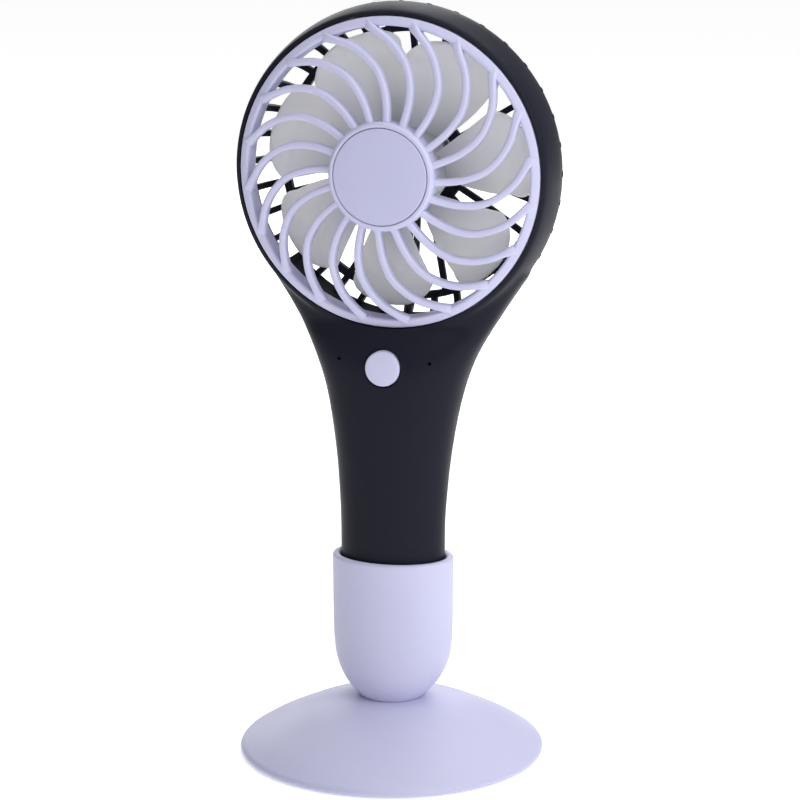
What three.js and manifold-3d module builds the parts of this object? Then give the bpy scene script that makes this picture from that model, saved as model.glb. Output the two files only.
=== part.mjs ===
// Handheld electric fan with its desk stand, in millimetres.
// +Z is up, the fan blows towards -Y, and the origin is under the middle of the stand's base.
import * as THREE from 'three';
import { mergeVertices } from 'three/addons/utils/BufferGeometryUtils.js';
import Module from 'manifold-3d';

const wasm = await Module();
wasm.setup();

// ---- driving dimensions ----
const GAP = 0.3;
const WALL = 2.0;
const HEAD_Z = 174.1;          // height of the head's axis, which runs along Y
const HEAD_SEGMENTS = 36;
const PART_Y = 8.0;            // where the head's two shells meet
const DUCT_RADIUS = 45.3;      // inner wall round the grille and the impeller
const DUCT_WALL = 2.0;
const FRONT_EDGE_Y = -3.4;

const RING_RADIUS = 45.0;
const RING_INNER = 42.3;
const HUB_RING_RADIUS = 15.7;
const BADGE_RADIUS = 13.9;
const BADGE_FACE_Y = -11.7;
const RIB_COUNT = 20;
const RIB_WIDTH = 2.0;
const RIB_DEPTH = 3.0;

const OUTER_BARS = 36;
const REAR_SPOKES = 24;
const BAR_WIDTH = 1.8;
const REAR_RING_IN = 38.6;
const REAR_RING_OUT = 40.6;
const REAR_HUB_RADIUS = 15.2;

const BLADE_COUNT = 7;
const BLADE_TIP = 40.4;
const BLADE_MID_Y = 8.0;
const BLADE_FIRST_ANGLE = 4.5;
const BLADE_THICKNESS = 1.2;
const BLADE_CAMBER = 0.8;
const IMPELLER_HUB_RADIUS = 13.4;
const SHAFT_RADIUS = 1.0;
const MOTOR_RADIUS = 12.2;
const MOTOR_FRONT_Y = 13.6;
const MOTOR_BACK_Y = 25.2;
const MOTOR_SCREW_X = 8.0;

const BUTTON_Z = 118.0;
const BUTTON_RADIUS = 5.2;
const BUTTON_FACE_Y = -9.7;
const LED_X = 13.7;
const LED_Z = 119.9;
const BOARD_FRONT_Y = -2.6;
const BOARD_THICK = 1.2;

const CELL_RADIUS = 9.2;
const CELL_LENGTH = 65.0;
const CELL_BOTTOM_Z = 33.8;
const CELL_Y = 1.4;
const CELL_TOP_Z = CELL_BOTTOM_Z + CELL_LENGTH;
const PORT_Z = 103.0;

const SHELL_SCREWS = [[-20.5, 125.5], [20.5, 125.5], [-14.3, 101.0], [14.3, 101.0]];

const CUP_TOP_Z = 60.0;
const CUP_SEAM_Z = 16.9;
const CUP_FLOOR_Z = 27.2;
const BASE_RADIUS = 45.4;

// ---- finishes ----
const blackAbs = { color: '#26262C', roughness: 0.42, metalness: 0 };
const lavenderAbs = { color: '#C9C8E6', roughness: 0.5, metalness: 0 };
const badgeAbs = { color: '#BCBCDD', roughness: 0.5, metalness: 0 };
const frostedPp = { color: '#D2D2D6', roughness: 0.4, metalness: 0 };
const steel = { color: '#B8BABD', roughness: 0.3, metalness: 1 };
const whitePlastic = { color: '#E6E4DC', roughness: 0.5, metalness: 0 };
const greenBoard = { color: '#1F5A3A', roughness: 0.45, metalness: 0 };
const copper = { color: '#B87446', roughness: 0.35, metalness: 1 };
const rubber = { color: '#3A3A3C', roughness: 0.85, metalness: 0 };
const cellWrap = { color: '#2C6EA6', roughness: 0.35, metalness: 0 };
const redWire = { color: '#A3241F', roughness: 0.5, metalness: 0 };
const blackWire = { color: '#1C1C1E', roughness: 0.5, metalness: 0 };
const ledLens = { color: '#F2EFE2', roughness: 0.2, metalness: 0 };

// ---- solids and booleans ----
function solid(geometry) {
  const bare = geometry.index ? geometry.toNonIndexed() : geometry.clone();
  bare.deleteAttribute('normal');
  bare.deleteAttribute('uv');
  const merged = mergeVertices(bare, 1e-4);
  const vertProperties = new Float32Array(merged.attributes.position.array);
  let triVerts = new Uint32Array(merged.index.array);
  triVerts = dropSlivers(triVerts);
  if (signedVolume(vertProperties, triVerts) < 0) triVerts.reverse();
  return new wasm.Manifold(new wasm.Mesh({ numProp: 3, vertProperties, triVerts }));
}

function dropSlivers(triVerts) {
  const kept = [];
  for (let i = 0; i < triVerts.length; i += 3) {
    const [a, b, c] = [triVerts[i], triVerts[i + 1], triVerts[i + 2]];
    if (a !== b && b !== c && a !== c) kept.push(a, b, c);
  }
  return new Uint32Array(kept);
}

function signedVolume(points, triVerts) {
  const corner = [new THREE.Vector3(), new THREE.Vector3(), new THREE.Vector3()];
  let volume = 0;
  for (let i = 0; i < triVerts.length; i += 3) {
    corner.forEach((v, k) => v.fromArray(points, 3 * triVerts[i + k]));
    volume += corner[0].dot(corner[1].clone().cross(corner[2]));
  }
  return volume;
}

function geometryOf(manifold) {
  const mesh = manifold.getMesh();
  const geometry = new THREE.BufferGeometry();
  const position = new Float32Array(mesh.vertProperties);
  geometry.setAttribute('position', new THREE.BufferAttribute(position, 3));
  geometry.setIndex(new THREE.BufferAttribute(new Uint32Array(mesh.triVerts), 1));
  geometry.computeVertexNormals();
  return geometry;
}

const join = (...parts) => parts.flat().reduce((whole, part) => whole.add(part));
const cut = (whole, ...tools) => tools.flat().reduce((rest, tool) => rest.subtract(tool), whole);

// ---- shape makers ----
function lathe(points, segments = 48) {
  return new THREE.LatheGeometry(points.map(([r, h]) => new THREE.Vector2(r, h)), segments);
}

// A turned piece whose axis runs along Y at the height of the head.
function headTurned(points, segments = HEAD_SEGMENTS) {
  return solid(lathe(points, segments).translate(0, 0, HEAD_Z));
}

// A turned piece whose axis is vertical.
function standTurned(points, segments = 36) {
  return solid(lathe(points, segments).rotateX(Math.PI / 2));
}

function box(x0, x1, y0, y1, z0, z1) {
  const geometry = new THREE.BoxGeometry(x1 - x0, y1 - y0, z1 - z0);
  return solid(geometry.translate((x0 + x1) / 2, (y0 + y1) / 2, (z0 + z1) / 2));
}

// A round bar along Y.
function rodY(x, z, radius, y0, y1, segments = 16) {
  const geometry = new THREE.CylinderGeometry(radius, radius, y1 - y0, segments);
  return solid(geometry.translate(x, (y0 + y1) / 2, z));
}

// A round bar along Z.
function rodZ(x, y, radius, z0, z1, segments = 20) {
  const geometry = new THREE.CylinderGeometry(radius, radius, z1 - z0, segments);
  return solid(geometry.rotateX(Math.PI / 2).translate(x, y, (z0 + z1) / 2));
}

// A closed skin through rings of points that all have the same count.
function skin(rings) {
  const count = rings[0].length;
  const points = rings.flat();
  const faces = [];
  for (let ring = 0; ring < rings.length - 1; ring += 1) {
    for (let i = 0; i < count; i += 1) {
      const a = ring * count + i;
      const b = ring * count + (i + 1) % count;
      faces.push(a, b, b + count, a, b + count, a + count);
    }
  }
  const last = (rings.length - 1) * count;
  for (let i = 1; i < count - 1; i += 1) {
    faces.push(0, i + 1, i, last, last + i, last + i + 1);
  }
  const geometry = new THREE.BufferGeometry().setFromPoints(points);
  geometry.setIndex(faces);
  return solid(geometry);
}

// ---- the fan's body: an oval grip that widens into a round head ----
// height, half width, front y, widest y, rear y, squareness of the front half
const BODY = [
  [28.5, 12.0, -6.6, 1.4, 9.4, 2.0],
  [29.8, 14.2, -8.8, 1.4, 11.6, 2.0],
  [33.0, 15.6, -10.1, 1.4, 12.9, 2.0],
  [68.0, 15.8, -10.1, 1.4, 13.0, 2.0],
  [84.0, 16.7, -10.15, 2.3, 14.3, 2.05],
  [98.0, 18.4, -10.1, 3.5, 15.8, 2.2],
  [110.0, 20.8, -9.85, 4.8, 17.4, 2.35],
  [118.5, 23.5, -9.05, 5.6, 18.5, 2.6],
  [125.0, 26.4, -6.8, 6.6, 19.4, 2.8],
  [131.0, 29.6, -3.3, 7.5, 20.2, 3.0],
  [137.0, 33.0, -3.2, 8.0, 20.8, 3.2],
  [145.0, 38.5, -3.1, 8.0, 21.2, 3.4],
];
const REAR_SQUARENESS = 2.2;

function oval(z, halfWidth, front, middle, rear, squareness, count = 24) {
  const points = [];
  for (let i = 0; i < count; i += 1) {
    const angle = (i / count) * 2 * Math.PI;
    const power = 2 / (Math.sin(angle) < 0 ? squareness : REAR_SQUARENESS);
    const depth = Math.sin(angle) < 0 ? middle - front : rear - middle;
    const x = halfWidth * Math.sign(Math.cos(angle)) * Math.abs(Math.cos(angle)) ** power;
    const y = middle + depth * Math.sign(Math.sin(angle)) * Math.abs(Math.sin(angle)) ** power;
    points.push(new THREE.Vector3(x, y, z));
  }
  return points;
}

function gripSolid(inset) {
  const rings = BODY.map(([z, halfWidth, front, middle, rear, squareness], i) => {
    const lift = i === 0 ? inset : 0;
    return oval(z + lift, halfWidth - inset, front + inset, middle, rear - inset, squareness);
  });
  if (inset > 0) rings.splice(1, 1);
  return skin(rings);
}

// The head's outline as radius and y, from the front edge round to the middle of the back.
const HEAD_SIDE = [[46.4, FRONT_EDGE_Y], [47.7, 1.5], [48.5, PART_Y]];
const HEAD_BACK = [[47.2, 14.0], [44.6, 19.2], [39.5, 22.8], [16.0, 27.8]];
const HEAD_BACK_Y = 28.0;

function headSolid() {
  const outline = [...HEAD_SIDE, ...HEAD_BACK];
  return headTurned([[0, FRONT_EDGE_Y], ...outline, [0, HEAD_BACK_Y]]);
}

function headHollow() {
  const back = HEAD_BACK.slice(1).map(([r, y]) => [r - WALL * 0.7, y - WALL]);
  const outline = [[DUCT_RADIUS, FRONT_EDGE_Y - 5], [DUCT_RADIUS, 14.8], ...back];
  return headTurned([[0, FRONT_EDGE_Y - 5], ...outline, [0, HEAD_BACK_Y - WALL]]);
}

// The parting face between the shells: its y at a few heights up the grip and across the head.
const PARTING = [[-10, 1.4], [64, 1.4], [92, 2.9], [119, 5.6], [137, PART_Y], [260, PART_Y]];

function partingY(z) {
  const above = PARTING.findIndex(([height]) => height >= z);
  const [z0, y0] = PARTING[above - 1];
  const [z1, y1] = PARTING[above];
  return THREE.MathUtils.mapLinear(z, z0, z1, y0, y1);
}

// Everything in front of the parting face, moved back by a shift.
function frontHalf(shift) {
  const back = PARTING.map(([z, y]) => new THREE.Vector2(y + shift, z));
  const profile = new THREE.Shape([new THREE.Vector2(-60, -10), ...back, new THREE.Vector2(-60, 260)]);
  const slab = new THREE.ExtrudeGeometry(profile, { depth: 140, bevelEnabled: false });
  const axes = new THREE.Matrix4().makeBasis(
    new THREE.Vector3(0, 1, 0), new THREE.Vector3(0, 0, 1), new THREE.Vector3(1, 0, 0));
  return solid(slab.translate(0, 0, -70).applyMatrix4(axes));
}

const outerBody = join(gripSolid(0), headSolid());
const ductOuter = rodY(0, HEAD_Z, DUCT_RADIUS + DUCT_WALL, -30, 60, HEAD_SEGMENTS);
const gripHollow = cut(gripSolid(WALL), ductOuter);
const leadHole = rodY(0, 0, 1.7, -8, 8, 12).rotate([90, 0, 0]).translate([0, 16.0, 128]);
const hollowBody = cut(outerBody, gripHollow, headHollow(), leadHole);

const frontPostEnd = (z) => partingY(z) + 0.2;

function frontShell() {
  const posts = SHELL_SCREWS.map(([x, z]) => rodY(x, z, 2.3, -12, frontPostEnd(z), 12));
  const pilots = SHELL_SCREWS.map(([x, z]) => rodY(x, z, 1.25, frontPostEnd(z) - 7, 40, 10));
  const shell = hollowBody.intersect(frontHalf(0));
  const posted = join(shell, posts.map((post) => post.intersect(outerBody)));
  const buttonHole = rodY(0, BUTTON_Z, BUTTON_RADIUS + 0.35, -20, 2, 28);
  const ledHoles = [-LED_X, LED_X].map((x) => rodY(x, LED_Z, 0.5, -20, -3.6, 8));
  return cut(posted, pilots, buttonHole, ledHoles);
}

function rearShell() {
  const floors = SHELL_SCREWS.map(([x, z]) => [x, z, frontPostEnd(z) + GAP]);
  const tubes = floors.map(([x, z, y]) => rodY(x, z, 3.4, y, 30, 14).intersect(outerBody));
  const shell = join(cut(hollowBody, frontHalf(0.12)), tubes);
  const holes = floors.map(([x, z]) => rodY(x, z, 1.4, -10, 40, 10));
  const recesses = floors.map(([x, z, y]) => rodY(x, z, 2.4, y + 2, 40, 12));
  const port = join(
    box(-3.4, 3.4, 8, 30, PORT_Z - 2.0, PORT_Z + 2.0),
    rodY(-3.4, PORT_Z, 2.0, 8, 30, 12), rodY(3.4, PORT_Z, 2.0, 8, 30, 12));
  const motorHoles = [-1, 1].map((side) => rodY(side * MOTOR_SCREW_X, HEAD_Z, 1.3, 20, 40, 10));
  const motorSinks = [-1, 1].map((side) => (
    rodY(side * MOTOR_SCREW_X, HEAD_Z, 2.3, HEAD_BACK_Y - 1.3, 40, 12)));
  return cut(shell, holes, recesses, port, motorHoles, motorSinks, rearSlots());
}

// One opening between two bars: a wedge whose sides run parallel to the bars.
function slot(count, index, inner, outer, y0, y1) {
  const half = Math.PI / count;
  const angle = (index + 0.5) * 2 * half;
  const halfBar = BAR_WIDTH / 2;
  const side = (r) => r * Math.tan(half) - halfBar / Math.cos(half);
  const along = inner * Math.cos(half);
  const profile = new THREE.Shape([
    new THREE.Vector2(along, -side(along)), new THREE.Vector2(outer, -side(outer)),
    new THREE.Vector2(outer, side(outer)), new THREE.Vector2(along, side(along)),
  ]);
  const wedge = new THREE.ExtrudeGeometry(profile, { depth: y1 - y0, bevelEnabled: false });
  wedge.rotateX(Math.PI / 2).translate(0, y1, 0).rotateY(-angle).translate(0, 0, HEAD_Z);
  return solid(wedge);
}

// Angles measured from +X towards +Z. The grip's shoulder covers the ones round -90 degrees.
function rearSlots() {
  const tools = [];
  for (let i = 0; i < OUTER_BARS; i += 1) {
    const degrees = (i + 0.5) * (360 / OUTER_BARS);
    const fromGrip = Math.abs(degrees - 270);
    const reach = fromGrip < 50 ? 45.0 : 60.0;
    const start = fromGrip < 50 ? 17.5 : 10.0;
    tools.push(slot(OUTER_BARS, i, REAR_RING_OUT, reach, start, 40));
  }
  for (let i = 0; i < REAR_SPOKES; i += 1) {
    tools.push(slot(REAR_SPOKES, i, REAR_HUB_RADIUS, REAR_RING_IN, 15, 40));
  }
  return tools;
}

// ---- front grille: rim, hub ring and curved ribs on a shallow dome ----
const RIB_PATH = [
  [15.2, -10.2, 13.4], [23, -8.9, 16.6], [31, -7.9, 23.4], [37, -6.7, 32.4], [43.2, -5.2, 44.2],
];

function rib(turn) {
  const centres = RIB_PATH.map(([r, y, degrees]) => {
    const angle = THREE.MathUtils.degToRad(degrees + turn);
    return new THREE.Vector3(r * Math.cos(angle), y, HEAD_Z + r * Math.sin(angle));
  });
  const last = centres.length - 1;
  const rings = centres.map((centre, i) => {
    const ahead = centres[Math.min(i + 1, last)].clone().sub(centres[Math.max(i - 1, 0)]);
    const across = new THREE.Vector3(-ahead.z, 0, ahead.x).normalize().multiplyScalar(RIB_WIDTH / 2);
    const at = (side, y) => centre.clone().addScaledVector(across, side).add(new THREE.Vector3(0, y, 0));
    return [at(-1, RIB_DEPTH), at(-0.8, 0), at(0.8, 0), at(1, RIB_DEPTH)];
  });
  return skin(rings);
}

function frontGrille() {
  const rim = headTurned([
    [RING_INNER, -4.8], [RING_RADIUS, FRONT_EDGE_Y], [RING_RADIUS, 2.0], [RING_INNER - 0.6, 2.0],
    [RING_INNER, -4.8],
  ]);
  const hub = headTurned([
    [0, -8.6], [HUB_RING_RADIUS - 1.2, -8.6], [HUB_RING_RADIUS - 1.2, -5.0],
    [HUB_RING_RADIUS, -5.0], [HUB_RING_RADIUS, -10.6], [HUB_RING_RADIUS - 0.8, -11.4],
    [BADGE_RADIUS + 0.2, -11.5], [BADGE_RADIUS + 0.2, -9.8], [0, -9.8],
  ], 36);
  const ribs = [];
  for (let i = 0; i < RIB_COUNT; i += 1) ribs.push(rib((i * 360) / RIB_COUNT));
  return join(rim, hub, ribs);
}

function hubBadge() {
  return headTurned([
    [0, -10.0], [BADGE_RADIUS, -10.0], [BADGE_RADIUS, -11.3], [BADGE_RADIUS - 0.6, BADGE_FACE_Y],
    [0, BADGE_FACE_Y - 0.3],
  ], 36);
}

// ---- impeller and motor ----
// radius, half of the blade's angle at that radius, lead of its centre line, pitch depth in y
const BLADE_STATIONS = [
  [12.6, 19, 0, 4.6], [20, 22, 2, 4.8], [29, 22.5, 4.5, 4.4], [36.5, 20.5, 5, 3.8],
  [BLADE_TIP, 13, 2, 3.0],
];

function blade(turn) {
  const steps = 4;
  const rings = BLADE_STATIONS.map(([r, spread, lead, depth]) => {
    const front = [];
    const back = [];
    for (let i = 0; i <= steps; i += 1) {
      const t = (2 * i) / steps - 1;
      const angle = THREE.MathUtils.degToRad(turn + lead + t * spread);
      const y = BLADE_MID_Y - t * depth + BLADE_CAMBER * (1 - t * t);
      const place = (dy) => new THREE.Vector3(r * Math.cos(angle), y + dy, HEAD_Z + r * Math.sin(angle));
      front.push(place(-BLADE_THICKNESS / 2));
      back.unshift(place(BLADE_THICKNESS / 2));
    }
    return [...front, ...back];
  });
  return skin(rings);
}

function impeller() {
  const outer = IMPELLER_HUB_RADIUS;
  const hub = headTurned([
    [0, -3.4], [outer - 1, -3.4], [outer, -2.4], [outer, 12.8], [outer - 1.5, 12.8],
    [outer - 1.5, -1.8], [3.2, -1.8], [3.2, 11.0], [SHAFT_RADIUS + GAP, 11.0],
    [SHAFT_RADIUS + GAP, 0.6], [0, 0.6],
  ], 28);
  const blades = [];
  for (let i = 0; i < BLADE_COUNT; i += 1) {
    blades.push(blade(BLADE_FIRST_ANGLE + (i * 360) / BLADE_COUNT));
  }
  return join(hub, blades);
}

function motorShaft() {
  return rodY(0, HEAD_Z, SHAFT_RADIUS, 1.0, 22.6, 20);
}

function motorCan() {
  const bore = SHAFT_RADIUS + GAP;
  return headTurned([
    [bore, MOTOR_FRONT_Y - 1.2], [3.0, MOTOR_FRONT_Y - 1.2], [3.2, MOTOR_FRONT_Y],
    [MOTOR_RADIUS - 0.8, MOTOR_FRONT_Y], [MOTOR_RADIUS, MOTOR_FRONT_Y + 0.8],
    [MOTOR_RADIUS, MOTOR_BACK_Y - 2.2], [MOTOR_RADIUS - 0.9, MOTOR_BACK_Y - 2.2],
    [MOTOR_RADIUS - 0.9, MOTOR_FRONT_Y + 1.0], [bore, MOTOR_FRONT_Y + 1.0],
    [bore, MOTOR_FRONT_Y - 1.2],
  ], 24);
}

function motorArmature() {
  const inner = SHAFT_RADIUS + 0.05;
  return headTurned([
    [inner, MOTOR_FRONT_Y + 2.0], [8.6, MOTOR_FRONT_Y + 2.0], [8.6, MOTOR_BACK_Y - 4.0],
    [inner, MOTOR_BACK_Y - 4.0], [inner, MOTOR_FRONT_Y + 2.0],
  ], 20);
}

function motorEndCap() {
  const cap = headTurned([
    [0, MOTOR_BACK_Y - 1.9], [MOTOR_RADIUS - 0.3, MOTOR_BACK_Y - 1.9],
    [MOTOR_RADIUS - 0.3, MOTOR_BACK_Y], [0, MOTOR_BACK_Y],
  ], 24);
  const holes = [-1, 1].map((side) => rodY(side * MOTOR_SCREW_X, HEAD_Z, 1.3, 10, 40, 10));
  return cut(cap, holes);
}

function screw(x, z, tip, headY, shankRadius, headRadius) {
  const points = [
    [0, tip], [shankRadius * 0.4, tip], [shankRadius, tip + 0.8], [shankRadius, headY],
    [headRadius, headY], [headRadius, headY + 0.7], [headRadius * 0.6, headY + 1.2],
    [0, headY + 1.2],
  ];
  const body = solid(lathe(points, 10).translate(x, 0, z));
  const arm = headRadius * 0.55;
  const cross = join(
    box(x - arm, x + arm, headY + 0.6, headY + 2, z - 0.22, z + 0.22),
    box(x - 0.22, x + 0.22, headY + 0.6, headY + 2, z - arm, z + arm));
  return body.subtract(cross);
}

// ---- switch, boards, cell and leads ----
function powerButton() {
  const cap = solid(lathe([
    [0, -6.0], [BUTTON_RADIUS - 0.4, -6.0], [BUTTON_RADIUS, -6.4], [BUTTON_RADIUS, BUTTON_FACE_Y + 0.5],
    [BUTTON_RADIUS - 0.5, BUTTON_FACE_Y], [0, BUTTON_FACE_Y - 0.25],
  ], 28).translate(0, 0, BUTTON_Z));
  const ears = box(-6.6, 6.6, -6.4, -5.9, BUTTON_Z - 1.4, BUTTON_Z + 1.4);
  return join(cap, ears);
}

function tactSwitch() {
  const body = box(-3, 3, -4.9, BOARD_FRONT_Y - 0.1, BUTTON_Z - 3, BUTTON_Z + 3);
  return cut(body, rodY(0, BUTTON_Z, 1.95, -10, -3.2, 24));
}

function mainBoard() {
  const outline = new THREE.Shape([
    new THREE.Vector2(-12.5, 106), new THREE.Vector2(12.5, 106), new THREE.Vector2(14.7, 113),
    new THREE.Vector2(14.7, 121), new THREE.Vector2(12.6, 122.6), new THREE.Vector2(-12.6, 122.6),
    new THREE.Vector2(-14.7, 121), new THREE.Vector2(-14.7, 113),
  ]);
  const plate = new THREE.ExtrudeGeometry(outline, { depth: BOARD_THICK, bevelEnabled: false });
  plate.rotateX(Math.PI / 2).translate(0, BOARD_FRONT_Y + BOARD_THICK, 0);
  return solid(plate);
}

function chargePort() {
  const shellWidth = 4.4;
  const body = box(-shellWidth, shellWidth, 8.4, 15.8, PORT_Z - 1.55, PORT_Z + 1.55);
  const mouth = box(-shellWidth + 0.5, shellWidth - 0.5, 9.6, 20, PORT_Z - 1.1, PORT_Z + 1.1);
  const tongue = box(-3.2, 3.2, 9.5, 14.6, PORT_Z - 0.35, PORT_Z + 0.35);
  return join(cut(body, mouth), tongue);
}

function batteryCell() {
  const points = [
    [0, CELL_BOTTOM_Z], [CELL_RADIUS - 0.8, CELL_BOTTOM_Z], [CELL_RADIUS, CELL_BOTTOM_Z + 0.8],
    [CELL_RADIUS, CELL_TOP_Z - 1.6], [CELL_RADIUS - 0.8, CELL_TOP_Z - 0.8],
    [3.2, CELL_TOP_Z - 0.8], [3.0, CELL_TOP_Z], [0, CELL_TOP_Z],
  ];
  return solid(lathe(points, 24).rotateX(Math.PI / 2).translate(0, CELL_Y, 0));
}

// A lead is a round wire swept along a smooth path.
function lead(points, radius = 0.55) {
  const path = new THREE.CatmullRomCurve3(points.map((p) => new THREE.Vector3(...p)), false, 'centripetal');
  const circle = new THREE.Shape().absarc(0, 0, radius, 0, 2 * Math.PI);
  const steps = Math.round(path.getLength() / 4);
  const options = { steps, curveSegments: 4, bevelEnabled: false, extrudePath: path };
  return solid(new THREE.ExtrudeGeometry(circle, options));
}

function batteryLead(side) {
  if (side > 0) {
    return lead([[4.6, 1.4, 99.6], [8.0, 1.2, 100.2], [9.4, 3.4, 102.6], [8.4, 6.2, 102.6]]);
  }
  return lead([
    [-5.5, 1.4, 32.7], [-9.8, 1.4, 32.6], [-11.0, 1.4, 36], [-11.0, 1.4, 90], [-10.6, 2.4, 99],
    [-9.4, 4.6, 102.8], [-8.4, 6.2, 102.8],
  ]);
}

function motorLead(side) {
  const x = side * 0.75;
  return lead([
    [x, 24.0, 161.6], [x, 23.3, 158], [x, 21.9, 146], [x, 19.4, 137.5], [x, 16.6, 132.5],
    [x, 15.6, 128], [x, 12.4, 121.5], [x * 2, 4.0, 117], [x * 3, -0.7, 115],
  ], 0.5);
}

// ---- stand ----
// height, half width, half depth of the cup's outside
const CUP_OUTSIDE = [
  [CUP_SEAM_Z, 9.5, 9.2], [20.0, 12.5, 11.0], [23.6, 14.9, 12.4], [28.0, 16.65, 13.3],
  [34.0, 17.5, 13.7], [58.9, 18.0, 14.0], [CUP_TOP_Z, 17.2, 13.2],
];
const CUP_INSIDE = [
  [CUP_FLOOR_Z, 12.2, 8.1], [29.4, 14.9, 10.7], [32.6, 16.0, 11.8], [CUP_TOP_Z + 1, 16.05, 11.85],
];
const GRIP_Y = CELL_Y;

const ellipse = (z, a, b) => oval(z, a, GRIP_Y - b, GRIP_Y, GRIP_Y + b, 2.0, 28);

// The cup's seam is round and centred on the base; the grip's centre line lies a little behind.
function cupRing([z, a, b]) {
  const blend = THREE.MathUtils.smoothstep(z, CUP_SEAM_Z, 34);
  return ellipse(z, a, b).map((p) => p.setY(p.y - GRIP_Y * (1 - blend)));
}

function standCup() {
  const outside = skin(CUP_OUTSIDE.map(cupRing));
  const inside = skin(CUP_INSIDE.map(([z, a, b]) => ellipse(z, a, b)));
  const screwHole = rodZ(0, 0, 1.3, 0, 25.0, 16);
  return cut(outside, inside, screwHole);
}

function cupDisc() {
  return skin([ellipse(CUP_FLOOR_Z + 0.1, 11.0, 6.9), ellipse(CUP_FLOOR_Z + 1.1, 11.4, 7.3)]);
}

const DOME = [
  [9.6, 16.7], [15, 15.8], [21, 14.0], [30, 10.1], [40, 5.15], [44.7, 2.3], [BASE_RADIUS, 1.4],
  [44.8, 0.4],
];

function baseShell() {
  const outside = [[0, 16.7], ...DOME, [43.4, 0.4]];
  const inside = [
    [43.4, 1.7], [39, 3.7], [24, 10.6], [13, 13.8], [5.4, 14.3], [5.4, 5.0], [3.0, 5.0],
    [3.0, 14.0], [0, 14.0],
  ];
  const shell = standTurned([...outside, ...inside]);
  return shell.subtract(rodZ(0, 0, 1.8, 0, 30, 20));
}

function baseWeight() {
  return standTurned([
    [5.8, 2.6], [37, 2.6], [37, 3.8], [31.4, 6.4], [5.8, 6.4], [5.8, 2.6],
  ], 36);
}

function baseCover() {
  const plate = standTurned([
    [0, 0.9], [42.9, 0.9], [42.9, 1.6], [42.0, 2.2], [0, 2.2],
  ]);
  return plate.subtract(rodZ(0, 0, 5.6, -1, 5, 24));
}

function antiSlipRing() {
  return standTurned([
    [34, 0], [41, 0], [41, 0.8], [34, 0.8], [34, 0],
  ]);
}

function standScrew() {
  const points = [
    [0, 2.6], [2.8, 2.6], [2.8, 4.7], [1.15, 4.7], [1.15, 23.4], [0.5, 24.4], [0, 24.4],
  ];
  const cross = join(box(-1.6, 1.6, -0.3, 0.3, 0, 3.6), box(-0.3, 0.3, -1.6, 1.6, 0, 3.6));
  return cut(solid(lathe(points, 24).rotateX(Math.PI / 2)), cross);
}

// ---- the assembly ----
const fan = new THREE.Group();

function place(name, manifold, finish) {
  const mesh = new THREE.Mesh(geometryOf(manifold), new THREE.MeshStandardMaterial(finish));
  mesh.name = name;
  fan.add(mesh);
}

place('front_shell', frontShell(), blackAbs);
place('rear_shell', rearShell(), blackAbs);
place('front_grille', frontGrille(), lavenderAbs);
place('hub_badge', hubBadge(), badgeAbs);
place('impeller', impeller(), frostedPp);
place('motor_shaft', motorShaft(), steel);
place('motor_armature', motorArmature(), copper);
place('motor_can', motorCan(), steel);
place('motor_end_cap', motorEndCap(), whitePlastic);
[-1, 1].forEach((side, i) => {
  const body = screw(side * MOTOR_SCREW_X, HEAD_Z, 21.8, HEAD_BACK_Y - 1.2, 0.95, 1.9);
  place(`motor_screw_${i + 1}`, body, steel);
});

place('power_button', powerButton(), lavenderAbs);
place('switch_plunger', rodY(0, BUTTON_Z, 1.6, -5.7, -4.1, 20), blackAbs);
place('tact_switch', tactSwitch(), steel);
place('main_board', mainBoard(), greenBoard);
[-1, 1].forEach((side, i) => {
  const x = side * (LED_X - 0.1);
  const chip = box(x - 0.8, x + 0.8, BOARD_FRONT_Y - 0.8, BOARD_FRONT_Y - 0.1, LED_Z - 0.5, LED_Z + 0.5);
  place(`status_led_${i + 1}`, chip, ledLens);
});
place('charge_board', box(-7.6, 7.6, 4.6, 12.2, PORT_Z - 2.9, PORT_Z - 1.9), greenBoard);
place('charge_port', chargePort(), steel);
place('battery_cell', batteryCell(), cellWrap);
place('cell_tab_top', box(-3, 5.4, CELL_Y - 2, CELL_Y + 2, CELL_TOP_Z + 0.1, CELL_TOP_Z + 0.3), steel);
place('cell_tab_bottom', box(-7, 4, CELL_Y - 2, CELL_Y + 2, CELL_BOTTOM_Z - 0.3, CELL_BOTTOM_Z - 0.1), steel);
place('battery_lead_red', batteryLead(1), redWire);
place('battery_lead_black', batteryLead(-1), blackWire);
place('motor_lead_1', motorLead(-1), blackWire);
place('motor_lead_2', motorLead(1), blackWire);
SHELL_SCREWS.forEach(([x, z], i) => {
  const headY = frontPostEnd(z) + GAP + 2.1;
  place(`shell_screw_${i + 1}`, screw(x, z, frontPostEnd(z) - 6.2, headY, 1.0, 2.1), steel);
});

place('stand_cup', standCup(), lavenderAbs);
place('cup_disc', cupDisc(), rubber);
place('base_shell', baseShell(), lavenderAbs);
place('base_weight', baseWeight(), steel);
place('base_cover', baseCover(), lavenderAbs);
place('anti_slip_ring', antiSlipRing(), rubber);
place('stand_screw', standScrew(), steel);

export default fan;
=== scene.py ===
import math

import bmesh
import bpy
import numpy as np
from mathutils import Matrix, Vector


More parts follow.
